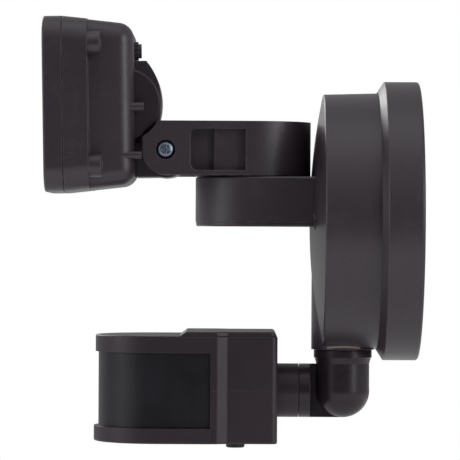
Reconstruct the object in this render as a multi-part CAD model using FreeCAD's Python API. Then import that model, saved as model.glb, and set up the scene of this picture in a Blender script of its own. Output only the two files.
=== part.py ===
import FreeCAD, Part
import math
import os
from FreeCAD import Vector

# A wall-mounted motion sensor security light, in millimetres and degrees.
# The wall is the plane Y = 0 and the light faces -Y, with +Z up and X across.
# The origin is the centre of the canopy's back, on the wall.

# Canopy: a round rim against the wall and a domed cover that stands out of it.
cover_back_radius = 64.5
rim_overhang = 5.5
canopy_radius = cover_back_radius + rim_overhang
rim_depth = 20.7
rim_slope_depth = 3.2
rim_front_round = 0.7
rim_back_round = 1.5
cover_draft = 1.0
cover_front_radius = cover_back_radius - cover_draft
cover_apex_depth = 54.4
dome_radius = 316.0
cover_corner_round = 1.0
canopy_wall = 2.5
lip_gap = 0.15
cover_seat_depth = 12.0
seat_plate_thickness = 2.4
seat_plate_width = 10.0
seat_plate_inner_radius = cover_back_radius - seat_plate_width
gasket_depth = 2.5
gasket_width = 4.4
gasket_rib = 2.0
rim_screw_circle = cover_back_radius - 6.5
rim_boss_radius = 3.8

# Mounting strap inside the canopy, for an electrical box with holes 88.9 apart.
strap_length = 108.0
strap_width = 18.0
strap_thickness = 1.6
box_hole_spacing = 88.9
box_slot_width = 4.4
box_slot_length = 12.0
canopy_screw_radius = 2.0
ground_screw_x = 20.0

# Control board in the canopy.
board_thickness = 1.6
control_board_depth = 38.4
control_board_half_width = 26.0
control_board_z = (17.0, 51.0)

# Fixed bracket and the upright pivot of the arm.
pan_reach = 28.5
pan_y = -cover_apex_depth - pan_reach
bracket_half_width = 29.0
canopy_screw_spacing = 2 * (bracket_half_width + 5.0)
bracket_z = (-3.1, 21.8)
bracket_floor_thickness = 2.1
bracket_floor_inset = 0.3
bracket_wall = 2.8
bracket_top = 3.2
bracket_back_wall_y = -cover_apex_depth - 4.1
bracket_edge = 0.8
bracket_screw_spacing = 28.0
bracket_screw_z = bracket_z[1] - 10.8
lead_hole_radius = 4.5
sleeve_radius = 8.0
sleeve_bore = sleeve_radius - 3.0
sleeve_flange_radius = sleeve_radius + 4.0
sleeve_flange_z = (bracket_z[1] - 15.8, bracket_z[1] - 13.2)
running_gap = 0.06

# Arm, which pans about the pivot.
arm_half_width = 28.8
arm_height = 27.0
arm_lift = 0.4
arm_z = (bracket_z[1] + arm_lift, bracket_z[1] + arm_lift + arm_height)
sleeve_top_z = arm_z[0] + 18.4
arm_floor = 4.4
arm_lid_thickness = 2.2
arm_cavity_radius = 21.0
arm_channel_half_width = 16.0
arm_lid_ledge = 1.6
bush_radius = sleeve_radius + 2.5
bush_flange_radius = bush_radius + 2.0
bush_boss_radius = bush_radius + 3.5
bush_boss_height = 4.0
wave_washer_thickness = 1.2
pivot_nut_flats = 3 * sleeve_radius
pivot_nut_height = 6.0
pocket_y = (pan_y - 31.5, pan_y - 3.9)
pocket_split_y = pan_y - 19.6
pocket_z = (arm_z[0] + 2.5, arm_z[1] - 3.8)
pocket_round = 3.6
pocket_front_depth = 7.0
pocket_rear_depth = 4.0

# Fork at the arm's front and the level tilt axis of the head.
arm_length = 43.7
tilt_rise = 12.65
tilt_y = pan_y - arm_length
tilt_z = arm_z[0] + tilt_rise
ear_reach = 11.4
ear_corner_round = 12.0
fork_half_width = 20.0
tongue_half_width = fork_half_width - 0.7
tongue_radius = 13.8
fork_gap = 1.0
tilt_screw_radius = 2.5
tilt_screw_head_radius = tilt_screw_radius + 1.65
tilt_screw_head_height = 2.6
tilt_recess_radius = tilt_screw_radius + 2.4
tilt_recess_depth = 3.0
tilt_nut_flats = 2 * tilt_screw_radius + 3.0
tilt_nut_height = 4.0
tilt_washer_radius = tilt_screw_radius + 5.5

# Lamp head, drawn upright and then leaned about the tilt axis.
head_lean = 1.1
head_depth = 44.7
head_stand_off = 15.1
head_back_y = tilt_y - head_stand_off
head_front_y = head_back_y - head_depth
bezel_depth = 9.5
bezel_seam = 0.3
flange_back_y = head_front_y + 22.1
head_half_width = 45.0
head_height = 87.0
head_drop = 20.4
head_front_z = (tilt_z - head_drop, tilt_z - head_drop + head_height)
head_back_z = (head_front_z[0] + 3.3, head_front_z[1] - 4.2)
head_corner = 13.0
body_corner = 9.0
body_front_half_width = head_half_width - 9.0
body_back_half_width = head_half_width - 13.0
head_back_round = 8.0
head_wall = 2.4
tower_x = head_half_width - 6.0
tower_top_drop = 14.2
tower_bottom_rise = 12.9
tower_radius = 5.8
tower_length = 6.5
window_half_width = head_half_width - 12.0
window_border_z = 12.5
window_round = 6.0
lens_margin = 2.8
lens_thickness = 3.5
lens_recess = 3.7
lens_gap = 0.2
bezel_front_round = 1.2
led_columns = 6
led_rows = 4
reflector_floor_half_width = window_half_width * 7 / 11
led_pitch = ((reflector_floor_half_width - 5.0) / 2.5, 8.0)
led_size = (3.4, 0.8, 3.4)
led_board_y = head_front_y + 21.3
led_board_half = (window_half_width - 4.0, 26.5)
pillar_offset = (led_board_half[0] - 3.5, led_board_half[1] - 4.0)
pillar_radius = 3.6
driver_x = (5.5 - pillar_offset[0], 7.0)
driver_z = (head_back_z[1] - 26.5, head_back_z[1] - 9.0)
driver_depth = 14.0
breather_x = 12.0
breather_z = head_back_z[1] - 12.8
breather_radius = 4.7
breather_notches = 12

# Knuckle on the head's back.
drum_y = head_back_y - 5.0
drum_z = tilt_z + 22.9
drum_radius = 17.9
drum_x = (15.2, body_back_half_width - 7.5)
hood_half_width = 15.0
hood_radius = 32.4
hood_y = head_back_y - 19.2
hood_z = tilt_z + 24.1
hood_top_z = tilt_z + 44.7
drum_gap = 0.6

# Elbow under the canopy, which pans about an upright axis.
elbow_y = -cover_apex_depth + 17.0
socket_bottom_z = -cover_back_radius - 0.1
socket_top_z = -22.0
socket_room_top_z = -32.0
socket_floor = 4.0
spigot_radius = 10.5
spigot_bore = spigot_radius - 4.0
socket_inner_radius = spigot_radius + 2.9
socket_radius = socket_inner_radius + 2.5
spigot_top_z = socket_bottom_z + 14.1
collar_radius = spigot_radius + 4.1
collar_height = 4.2
collar_gap = 0.4
elbow_nut_flats = 2 * spigot_radius + 1.0
elbow_nut_height = 5.0
elbow_washer_thickness = 1.0
stop_tab_radius = collar_radius + 0.5
stop_tab_y = (elbow_y + 0.4, elbow_y + 12.2)
stop_tab_height = 3.5

# Knuckle of the elbow and the level neck.
elbow_drop = 20.8
knuckle_z = socket_bottom_z - elbow_drop
elbow_radius = 13.4
neck_radius = 13.5
knuckle_gap = 0.3
knuckle_screw_radius = 2.5
neck_ring_y = (elbow_y - 22.1, elbow_y - 16.6)
neck_spigot_radius = 9.1
neck_bore = neck_spigot_radius - 4.1
neck_flange_radius = neck_spigot_radius + 2.5
neck_flange_y = (neck_ring_y[0] - 8.7, neck_ring_y[0] - 6.5)
roll_gap = 0.3

# Sensor housing.
sensor_half_width = 31.0
sensor_length = 91.2
sensor_back_y = neck_ring_y[0] - 11.1
sensor_centre_y = sensor_back_y - sensor_length + sensor_half_width
sensor_step_y = (sensor_back_y - 29.9, sensor_back_y - 24.8)
sensor_step_round = 2.0
sensor_box_half_width = sensor_half_width - 2.5
sensor_back_round = 3.0
sensor_drop = 25.5
sensor_height = 53.3
sensor_z = (knuckle_z - sensor_drop, knuckle_z - sensor_drop + sensor_height)
sensor_seam_z = knuckle_z + 0.8
sensor_wall = 3.0
window_back_y = sensor_back_y - 33.2
window_z = (sensor_z[0] + 7.6, sensor_z[1] - 8.4)
chin = 0.8
pir_lens_inset = 1.5
pir_lens_thickness = 1.5
lid_height = 2.2
lid_front_y = sensor_back_y - 48.4
lid_slope = 3.0
lid_back_round = 1.8
lid_inset = 0.6
detector_board_y = window_back_y - 3.2
detector_radius = 4.6
shell_screw_x = sensor_box_half_width - 7.5
shell_screw_y = (sensor_back_y - 26.9, sensor_back_y - 7.4)
dial_y = sensor_back_y - 20.7
dial_x = 12.0
dial_radius = 4.65
dial_proud = 2.6
switch_proud = 1.3
switch_y = window_back_y - 1.4
switch_size = (6.0, 3.0)
switch_travel = 3.0

AXES = {"x": Vector(1, 0, 0), "y": Vector(0, 1, 0), "z": Vector(0, 0, 1)}
parts = {}


# Shapes that are used again and again.

def place(axis, along, across):
    """Point at a distance along an axis, with its other coordinates in X, Y, Z order."""
    first, second = across
    points = {
        "x": Vector(along, first, second),
        "y": Vector(first, along, second),
        "z": Vector(first, second, along),
    }
    return points[axis]


def block(x, y, z):
    return Part.makeBox(x[1] - x[0], y[1] - y[0], z[1] - z[0], Vector(x[0], y[0], z[0]))


def rod(axis, across, span, radius):
    low, high = min(span), max(span)
    return Part.makeCylinder(radius, high - low, place(axis, low, across), AXES[axis])


def ring(axis, across, span, outer, inner):
    low, high = min(span), max(span)
    hole = rod(axis, across, (low - 1, high + 1), inner)
    return rod(axis, across, (low, high), outer).cut(hole)


def joined(shapes):
    whole = shapes[0].fuse(shapes[1:]) if len(shapes) > 1 else shapes[0]
    return whole.removeSplitter()


def without(shape, tools):
    return shape.cut(tools)


def edges_in_plane(shape, axis, value):
    """Edges of a shape that lie wholly in the plane where one coordinate has a value."""
    found = []
    for edge in shape.Edges:
        box = edge.BoundBox
        low = {"x": box.XMin, "y": box.YMin, "z": box.ZMin}[axis]
        high = {"x": box.XMax, "y": box.YMax, "z": box.ZMax}[axis]
        if abs(low - value) < 0.01 and abs(high - value) < 0.01:
            found.append(edge)
    return found


def corner_arc(before, corner, after, radius):
    """Entry, middle and exit points of the arc that rounds a corner."""
    to_before = (before - corner).normalize()
    to_after = (after - corner).normalize()
    half_angle = to_before.getAngle(to_after) / 2
    reach = radius / math.tan(half_angle)
    to_centre = (to_before + to_after).normalize()
    centre = corner + to_centre * (radius / math.sin(half_angle))
    middle = centre - to_centre * radius
    return corner + to_before * reach, middle, corner + to_after * reach


def rounded_wire(corners):
    """Closed wire through (point, radius) corners, each rounded by its own radius."""
    arcs = []
    for index, (corner, radius) in enumerate(corners):
        before = corners[index - 1][0]
        after = corners[(index + 1) % len(corners)][0]
        if radius == 0:
            arcs.append((corner, None, corner))
        else:
            arcs.append(corner_arc(before, corner, after, radius))
    edges = []
    for index, (entry, middle, leave) in enumerate(arcs):
        following = arcs[(index + 1) % len(arcs)][0]
        if middle is not None:
            edges.append(Part.Arc(entry, middle, leave).toShape())
        if leave.distanceToPoint(following) > 1e-6:
            edges.append(Part.makeLine(leave, following))
    return Part.Wire(edges)


def prism(corners, travel):
    return Part.Face(rounded_wire(corners)).extrude(travel)


def side_prism(x, corners):
    """Prism across X of an outline in the side view, given as ((y, z), radius) corners."""
    points = [(Vector(x[0], y, z), radius) for (y, z), radius in corners]
    return prism(points, Vector(x[1] - x[0], 0, 0))


def round_ended(half_width, centre_y, end_y, z):
    """Upright slab, round about an axis at centre_y and straight from there to end_y."""
    y = (min(centre_y, end_y), max(centre_y, end_y))
    straight = block((-half_width, half_width), y, z)
    return joined([rod("z", (0, centre_y), z, half_width), straight])


def placed(shape, position, direction):
    shape.Placement = FreeCAD.Placement(position, FreeCAD.Rotation(Vector(0, 0, 1), direction))
    return shape


def screw(axis, across, seat, tip, radius, head_radius, head_height):
    """Pan head screw with a cross recess, its head sitting at seat and its end at tip."""
    length = abs(tip - seat)
    head = Part.makeCylinder(head_radius, head_height)
    head = head.makeFillet(0.35 * head_height, edges_in_plane(head, "z", head_height))
    shank = Part.makeCylinder(radius, length, Vector(0, 0, -length))
    arm = 0.62 * head_radius
    slot = 0.14 * head_radius
    depth = (0.35 * head_height, head_height + 1)
    cross = block((-arm, arm), (-slot, slot), depth).fuse(block((-slot, slot), (-arm, arm), depth))
    whole = joined([head, shank]).cut(cross)
    direction = AXES[axis] * (1 if seat > tip else -1)
    return placed(whole, place(axis, seat, across), direction)


def nut(axis, across, span, flats, bore):
    corner = flats / math.sqrt(3)
    points = []
    for step in range(6):
        angle = math.radians(60 * step)
        points.append(Vector(corner * math.cos(angle), corner * math.sin(angle), 0))
    points.append(points[0])
    height = max(span) - min(span)
    body = Part.Face(Part.makePolygon(points)).extrude(Vector(0, 0, height))
    body = body.cut(Part.makeCylinder(bore, height))
    return placed(body, place(axis, min(span), across), AXES[axis])


def keep(name, *solids):
    parts[name] = solids[0] if len(solids) == 1 else Part.makeCompound(list(solids))


# Canopy.

dome_centre_y = dome_radius - cover_apex_depth
control_board_back_y = -control_board_depth
control_board_front_y = control_board_back_y - board_thickness
rim_screw_places = []
for quarter in range(4):
    turn = math.radians(45 + 90 * quarter)
    rim_screw_places.append((rim_screw_circle * math.cos(turn), rim_screw_circle * math.sin(turn)))
board_screw_places = []
for screw_x in (4 - control_board_half_width, control_board_half_width - 4):
    for screw_z in (control_board_z[0] + 4, control_board_z[1] - 4):
        board_screw_places.append((screw_x, screw_z))
canopy_screw_places = [(-canopy_screw_spacing / 2, 0), (canopy_screw_spacing / 2, 0)]
bracket_screw_places = [
    (-bracket_screw_spacing / 2, bracket_screw_z),
    (bracket_screw_spacing / 2, bracket_screw_z),
]


def dome_y(radius, inset=0.0):
    """Depth of the dome's skin, or of its inside, at a distance from the canopy's axis."""
    return dome_centre_y - math.sqrt((dome_radius - inset) ** 2 - radius ** 2)


def cover_solid(inset, back_y):
    """Everything under the cover's skin, drawn in by inset, as far back as back_y."""
    corner_y = dome_y(cover_front_radius)
    front_y = -cover_apex_depth - 2
    draft = (cover_back_radius - cover_front_radius) / (-cover_seat_depth - corner_y)
    back_radius = cover_back_radius - inset
    front_radius = back_radius - draft * (back_y - front_y)
    side = Part.makeCone(back_radius, front_radius, back_y - front_y, Vector(0, back_y, 0), -AXES["y"])
    dome = Part.makeSphere(dome_radius - inset, Vector(0, dome_centre_y, 0))
    solid = side.common(dome)
    if inset == 0:
        solid = solid.makeFillet(cover_corner_round, edges_in_plane(solid, "y", corner_y))
    return solid


cover_skin = cover_solid(0.0, -cover_seat_depth)
canopy_seat_y = dome_y(canopy_screw_spacing / 2) + 3.2
bracket_pad_y = dome_y(bracket_screw_spacing / 2, canopy_wall) + 1.8


def canopy_cover():
    elbow_axis = (0, elbow_y)
    socket = rod("z", elbow_axis, (socket_bottom_z, socket_top_z), socket_radius)
    floor_top_z = socket_bottom_z + socket_floor
    floor = rod("z", elbow_axis, (socket_bottom_z - 1, floor_top_z), socket_radius + 1)
    inside = cover_solid(canopy_wall, -cover_seat_depth + 1).cut(floor)
    room = rod("z", elbow_axis, (floor_top_z, socket_room_top_z), socket_inner_radius)
    shell = without(joined([cover_skin, socket]), [inside, room])
    bosses = []
    holes = []
    for across in rim_screw_places:
        boss_front = dome_y(rim_screw_circle, canopy_wall / 2)
        bosses.append(rod("y", across, (boss_front, -cover_seat_depth), rim_boss_radius))
        holes.append(rod("y", across, (-cover_seat_depth - 12, 0), 1.5))
    for across in canopy_screw_places:
        boss_front = dome_y(canopy_screw_spacing / 2, canopy_wall / 2)
        bosses.append(rod("y", across, (boss_front, -8), 6.2))
        holes.append(rod("y", across, (-60, 0), canopy_screw_radius + 0.3))
        holes.append(rod("y", across, (-60, canopy_seat_y), 4.6))
    for across in board_screw_places:
        boss_front = dome_y(math.hypot(*across), canopy_wall / 2)
        bosses.append(rod("y", across, (boss_front, control_board_front_y), 3.0))
        holes.append(rod("y", across, (control_board_front_y - 9, 0), 1.2))
    for across in bracket_screw_places:
        bosses.append(rod("y", across, (bracket_pad_y - 2.4, bracket_pad_y), 5.0))
        holes.append(rod("y", across, (-60, 0), 2.2))
    holes.append(rod("y", (0, bracket_screw_z), (-60, -45), lead_hole_radius))
    spigot_span = (socket_bottom_z - 2, socket_room_top_z)
    holes.append(rod("z", elbow_axis, spigot_span, spigot_radius + running_gap))
    return without(joined([shell] + bosses), holes)


def canopy_rim():
    slope_y = rim_slope_depth - rim_depth
    lip_radius = cover_back_radius + lip_gap
    slope = Part.makeCone(canopy_radius, lip_radius + 0.3, rim_slope_depth, Vector(0, slope_y, 0), -AXES["y"])
    rim = joined([rod("y", (0, 0), (slope_y, 0), canopy_radius), slope])
    rim = rim.makeFillet(rim_front_round, edges_in_plane(rim, "y", slope_y))
    rim = rim.makeFillet(rim_back_round, edges_in_plane(rim, "y", 0))
    inner = canopy_radius - canopy_wall
    lip_y = slope_y + 0.5
    plate_y = seat_plate_thickness - cover_seat_depth
    rib_y = (-gasket_depth - gasket_rib, -gasket_depth)
    holes = [
        rod("y", (0, 0), (-rim_depth - 1, lip_y), lip_radius),
        rod("y", (0, 0), (lip_y, -cover_seat_depth), inner),
        rod("y", (0, 0), (-cover_seat_depth, plate_y), seat_plate_inner_radius),
        rod("y", (0, 0), (plate_y, rib_y[0]), inner),
        rod("y", (0, 0), rib_y, inner - gasket_width),
        rod("y", (0, 0), (-gasket_depth, 1), inner),
    ]
    for across in rim_screw_places:
        holes.append(rod("y", across, (-cover_seat_depth - 1, plate_y + 1), 1.8))
    return without(rim, holes)


def mounting_strap():
    radius = strap_width / 2
    straight = strap_length / 2 - radius
    y = (-strap_thickness, 0)
    pieces = [block((-straight, straight), y, (-radius, radius))]
    holes = [rod("y", (-ground_screw_x, 0), (-3, 1), 1.9)]
    for side in (-1, 1):
        pieces.append(rod("y", (side * straight, 0), y, radius))
        holes.append(rod("y", (side * canopy_screw_spacing / 2, 0), (-3, 1), canopy_screw_radius))
        slot_end = (box_slot_length - box_slot_width) / 2
        slot_x = side * box_hole_spacing / 2
        slot = (slot_x - slot_end, slot_x + slot_end)
        holes.append(block(slot, (-3, 1), (-box_slot_width / 2, box_slot_width / 2)))
        for end in slot:
            holes.append(rod("y", (end, 0), (-3, 1), box_slot_width / 2))
    return without(joined(pieces), holes)


def make_canopy():
    inner = canopy_radius - canopy_wall
    plate_back_y = seat_plate_thickness - cover_seat_depth
    keep("canopy_cover", canopy_cover())
    keep("canopy_rim", canopy_rim())
    gasket = ring("y", (0, 0), (-gasket_depth, 0), inner - 0.1, inner - gasket_width + 0.1)
    keep("wall_gasket", gasket)
    keep("mounting_strap", mounting_strap())
    keep("ground_screw", screw("y", (-ground_screw_x, 0), -strap_thickness, -0.2, 1.9, 3.6, 2.4))
    long_screws = []
    for across in canopy_screw_places:
        long_screws.append(screw("y", across, canopy_seat_y, -0.2, canopy_screw_radius, 4.0, 2.6))
    keep("canopy_screws", *long_screws)
    rim_screws = []
    for across in rim_screw_places:
        rim_screws.append(screw("y", across, plate_back_y, -cover_seat_depth - 9, 1.5, 3.0, 2.0))
    keep("rim_screws", *rim_screws)


def make_control_board():
    low_z, high_z = control_board_z
    half = control_board_half_width
    y = (control_board_front_y, control_board_back_y)
    board = block((-half, half), y, (low_z, high_z))
    holes = [rod("y", across, (-60, 0), 1.4) for across in board_screw_places]
    keep("control_board", without(board, holes))
    face = control_board_back_y
    keep("relay", block((-20.0, -4.0), (face, face + 15), (low_z + 9, low_z + 28)))
    capacitor = rod("y", (9.0, low_z + 13), (face, face + 14), 6.0)
    top = edges_in_plane(capacitor, "y", face + 14)
    keep("capacitor", capacitor.makeFillet(0.8, top))
    terminal = block((0.0, 18.0), (face, face + 9), (high_z - 12, high_z - 4))
    slots = [rod("y", (3.0 + 6.0 * index, high_z - 8), (face + 4, face + 10), 1.8) for index in range(3)]
    keep("terminal_block", without(terminal, slots))
    screws = []
    for across in board_screw_places:
        screws.append(screw("y", across, face, control_board_front_y - 7, 1.2, 2.4, 1.6))
    keep("control_board_screws", *screws)


# Bracket and pivot.

pan_axis = (0, pan_y)
bracket_floor_z = (bracket_z[0], bracket_z[0] + bracket_floor_thickness)
bracket_front_y = pan_y - bracket_half_width
floor_screw_places = [(0, bracket_front_y + 6.6), (-20.0, -64.5), (20.0, -64.5)]


def pivot_bracket():
    top_z = bracket_z[1]
    outer = round_ended(bracket_half_width, pan_y, -45.0, (bracket_floor_z[1], top_z))
    outer = outer.makeChamfer(bracket_edge, edges_in_plane(outer, "z", top_z))
    cavity_z = (bracket_floor_z[1] - 1, top_z - bracket_top)
    cavity = round_ended(bracket_half_width - bracket_wall, pan_y, bracket_back_wall_y, cavity_z)
    shell = outer.cut(cavity)
    inner_top = top_z - bracket_top + 0.5
    bosses = [rod("z", pan_axis, (sleeve_flange_z[1], inner_top), sleeve_flange_radius + 1)]
    holes = [
        rod("z", pan_axis, (0, 30), sleeve_radius),
        rod("y", (0, bracket_screw_z), (-62, -40), lead_hole_radius),
    ]
    for across in floor_screw_places:
        bosses.append(rod("z", across, (bracket_floor_z[1], inner_top), 3.4))
        holes.append(rod("z", across, (-5, bracket_floor_z[1] + 9), 1.3))
    for across in bracket_screw_places:
        bosses.append(rod("y", across, (bracket_back_wall_y - 9, bracket_back_wall_y + 1), 4.2))
        holes.append(rod("y", across, (bracket_back_wall_y - 8, -40), 2.0))
    return without(joined([shell] + bosses), holes + [cover_skin])


def bracket_floor():
    plate = round_ended(bracket_half_width - bracket_floor_inset, pan_y, -45.0, bracket_floor_z)
    plate = plate.makeChamfer(0.6, edges_in_plane(plate, "z", bracket_floor_z[0]))
    holes = [cover_skin]
    for across in floor_screw_places:
        holes.append(rod("z", across, (-5, 5), 1.6))
        holes.append(rod("z", across, (-5, bracket_floor_z[0] + 1.0), 2.9))
    return without(plate, holes)


def make_bracket():
    keep("pivot_bracket", pivot_bracket())
    keep("bracket_floor", bracket_floor())
    seat_z = bracket_floor_z[0] + 1.0
    screws = []
    for across in floor_screw_places:
        screws.append(screw("z", across, seat_z, seat_z + 9, 1.3, 2.7, 0.9))
    keep("bracket_floor_screws", *screws)
    screws = []
    for across in bracket_screw_places:
        screws.append(screw("y", across, bracket_pad_y, bracket_back_wall_y - 7, 2.0, 3.8, 2.4))
    keep("bracket_screws", *screws)
    tube = rod("z", pan_axis, (sleeve_flange_z[0], sleeve_top_z), sleeve_radius)
    flange = rod("z", pan_axis, sleeve_flange_z, sleeve_flange_radius)
    bore = rod("z", pan_axis, (sleeve_flange_z[0] - 1, sleeve_top_z + 1), sleeve_bore)
    keep("pivot_sleeve", joined([tube, flange]).cut(bore))
    keep("pivot_nut", nut("z", pan_axis, pivot_nut_z, pivot_nut_flats, sleeve_radius))


# Arm.

tilt_axis = (tilt_y, tilt_z)
bush_top_z = arm_z[0] + arm_floor + bush_boss_height
wave_washer_z = (bush_top_z, bush_top_z + wave_washer_thickness)
pivot_nut_z = (wave_washer_z[1] + 0.1, wave_washer_z[1] + 0.1 + pivot_nut_height)
fork_root_y = tilt_y + tongue_radius + fork_gap
channel_front_y = fork_root_y + 2.8
lid_z = (arm_z[1] - arm_lid_thickness, arm_z[1])
lid_screw_places = [(-12.0, channel_front_y + 4), (12.0, channel_front_y + 4), (0, pan_y + 18.2)]


def leaned_point(y, z):
    """Where a point of the upright head lies, as (y, z), once the head leans."""
    turn = math.radians(head_lean)
    ahead, above = y - tilt_y, z - tilt_z
    leaned_y = tilt_y + ahead * math.cos(turn) - above * math.sin(turn)
    leaned_z = tilt_z + ahead * math.sin(turn) + above * math.cos(turn)
    return leaned_y, leaned_z


def keyhole(radius, half_width, front_y, z):
    """Slab that is round about the pan axis, with a narrower straight part to the front."""
    straight = block((-half_width, half_width), (front_y, pan_y), z)
    return joined([rod("z", pan_axis, z, radius), straight])


def arm_pocket(side):
    y_front, y_rear = pocket_y
    low, high = pocket_z
    face = arm_half_width
    whole = [
        ((y_front, low), pocket_round),
        ((y_front, high), pocket_round),
        ((y_rear, high), 0),
        ((y_rear, low), 0),
    ]
    front = [
        ((y_front, low), pocket_round),
        ((y_front, high), pocket_round),
        ((pocket_split_y, high), 0),
        ((pocket_split_y, low), 0),
    ]
    shallow = side_prism((side * (face - pocket_rear_depth), side * (face + 1)), whole)
    deep = side_prism((side * (face - pocket_front_depth), side * (face + 1)), front)
    return [shallow, deep]


def arm_casting():
    front_y = tilt_y - ear_reach
    slab = round_ended(arm_half_width, pan_y, front_y, arm_z)
    profile = [
        ((front_y, arm_z[0]), ear_corner_round),
        ((front_y, arm_z[1]), 0),
        ((0, arm_z[1]), 0),
        ((0, arm_z[0]), 0),
    ]
    body = slab.common(side_prism((-arm_half_width, arm_half_width), profile))
    drum_room = rod("x", leaned_point(drum_y, drum_z), (-40, 40), drum_radius + drum_gap)
    fork = block((-fork_half_width, fork_half_width), (front_y - 1, fork_root_y), (0, arm_z[1] + 1))
    floor_top = arm_z[0] + arm_floor
    cavity = keyhole(arm_cavity_radius, arm_channel_half_width, channel_front_y, (floor_top, arm_z[1] + 1))
    ledge_radius = arm_cavity_radius + arm_lid_ledge
    ledge_half = arm_channel_half_width + arm_lid_ledge
    ledge = keyhole(ledge_radius, ledge_half, channel_front_y - arm_lid_ledge, (lid_z[0], arm_z[1] + 1))
    body = without(body, [drum_room, fork, cavity, ledge] + arm_pocket(-1) + arm_pocket(1))
    bosses = [rod("z", pan_axis, (floor_top - 1, bush_top_z), bush_boss_radius)]
    holes = [
        rod("z", pan_axis, (0, arm_z[1] + 1), bush_radius),
        rod("y", (0, tilt_z + 2), (fork_root_y - 1, channel_front_y + 1), 4.0),
        rod("x", tilt_axis, (-40, 40), tilt_screw_radius + running_gap),
        rod("x", tilt_axis, (arm_half_width - tilt_recess_depth, 40), tilt_recess_radius),
        nut("x", tilt_axis, (-40, tilt_nut_x[1]), tilt_nut_flats + 0.1, 0.01),
    ]
    for across in lid_screw_places:
        bosses.append(rod("z", across, (floor_top - 1, lid_z[0]), 3.0))
        holes.append(rod("z", across, (lid_z[0] - 8, arm_z[1] + 1), 1.2))
    return without(joined([body] + bosses), holes)


def arm_lid():
    gap = 0.15
    radius = arm_cavity_radius + arm_lid_ledge - gap
    half = arm_channel_half_width + arm_lid_ledge - gap
    lid = keyhole(radius, half, channel_front_y - arm_lid_ledge + gap, lid_z)
    holes = []
    for across in lid_screw_places:
        holes.append(rod("z", across, (0, arm_z[1] + 1), 1.5))
        holes.append(rod("z", across, (lid_z[0] + 1.0, arm_z[1] + 1), 2.7))
    return without(lid, holes)


tilt_nut_x = (-arm_half_width + 0.2, -arm_half_width + 0.2 + tilt_nut_height)


def make_arm():
    keep("arm_casting", arm_casting())
    keep("arm_lid", arm_lid())
    seat_z = lid_z[0] + 1.0
    screws = [screw("z", across, seat_z, seat_z - 8, 1.2, 2.5, 1.0) for across in lid_screw_places]
    keep("arm_lid_screws", *screws)
    bush_span = (arm_z[0] - arm_lift + 0.05, bush_top_z)
    bush_tube = rod("z", pan_axis, bush_span, bush_radius)
    bush_flange = rod("z", pan_axis, (bush_span[0], arm_z[0]), bush_flange_radius)
    bore = rod("z", pan_axis, (bush_span[0] - 1, bush_top_z + 1), sleeve_radius + running_gap)
    keep("pivot_bush", joined([bush_tube, bush_flange]).cut(bore))
    keep("wave_washer", ring("z", pan_axis, wave_washer_z, bush_boss_radius - 0.8, sleeve_radius + 0.4))
    seat = arm_half_width - tilt_recess_depth
    tilt_screw = screw("x", tilt_axis, seat, tilt_nut_x[0] + 0.3, tilt_screw_radius,
                       tilt_screw_head_radius, tilt_screw_head_height)
    keep("tilt_screw", tilt_screw)
    keep("tilt_nut", nut("x", tilt_axis, tilt_nut_x, tilt_nut_flats, tilt_screw_radius))
    washers = []
    for side in (-1, 1):
        span = (side * (tongue_half_width + 0.1), side * (fork_half_width - 0.1))
        washers.append(ring("x", tilt_axis, span, tilt_washer_radius, tilt_screw_radius + 0.1))
    keep("tilt_washers", *washers)


# Lamp head.

bezel_back_y = head_front_y + bezel_depth
housing_front_y = bezel_back_y + bezel_seam
head_middle_z = (head_front_z[0] + head_front_z[1]) / 2
window_half_height = (head_front_z[1] - head_front_z[0]) / 2 - window_border_z
lens_front_y = head_front_y + lens_recess
lens_back_y = lens_front_y + lens_thickness
led_board_back_y = led_board_y + board_thickness
tower_places = []
for tower_side in (-1, 1):
    tower_places.append((tower_side * tower_x, head_front_z[1] - tower_top_drop))
    tower_places.append((tower_side * tower_x, head_front_z[0] + tower_bottom_rise))
pillar_places = []
for pillar_x in (-pillar_offset[0], pillar_offset[0]):
    for pillar_z in (-pillar_offset[1], pillar_offset[1]):
        pillar_places.append((pillar_x, head_middle_z + pillar_z))
knuckle_screw_places = []
for knuckle_screw_rise in (-2.6, 30.4):
    for knuckle_screw_x in (-9.0, 9.0):
        knuckle_screw_places.append((knuckle_screw_x, tilt_z + knuckle_screw_rise))
lead_exit_z = tilt_z + 14.4
back_posts = [
    {"x": body_back_half_width - 1.05, "z": tilt_z - 2.65, "radius": 1.9, "length": 3.3},
    {"x": body_back_half_width - 3.6, "z": tilt_z + 21.25, "radius": 2.3, "length": 4.6},
]


def keep_head(name, *solids):
    """Keep pieces that are drawn on the upright head, leaned with it."""
    leaned = []
    for solid in solids:
        turned = solid.copy()
        turned.rotate(Vector(0, tilt_y, tilt_z), AXES["x"], head_lean)
        leaned.append(turned)
    keep(name, *leaned)


def front_rectangle(y, half_width, z, radius):
    """Rounded rectangle square to the head's axis, as a wire."""
    low, high = z
    corners = [
        (Vector(-half_width, y, low), radius),
        (Vector(half_width, y, low), radius),
        (Vector(half_width, y, high), radius),
        (Vector(-half_width, y, high), radius),
    ]
    return rounded_wire(corners)


def front_plate(y, half_width, z, radius):
    wire = front_rectangle(y[0], half_width, z, radius)
    return Part.Face(wire).extrude(Vector(0, y[1] - y[0], 0))


def head_section(y, inset):
    """Height of the housing at a depth, drawn in by inset, as (low, high)."""
    share = (y - bezel_back_y) / (head_back_y - bezel_back_y)
    low = head_front_z[0] + share * (head_back_z[0] - head_front_z[0])
    high = head_front_z[1] + share * (head_back_z[1] - head_front_z[1])
    return low + inset, high - inset


def tapered(y, half_widths, corner, inset):
    """Part of the housing between two depths, tapered with it and drawn in by inset."""
    wires = []
    for depth, half_width in zip(y, half_widths):
        section = head_section(depth, inset)
        wires.append(front_rectangle(depth, half_width - inset, section, corner - inset))
    return Part.makeLoft(wires, True, True)


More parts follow.
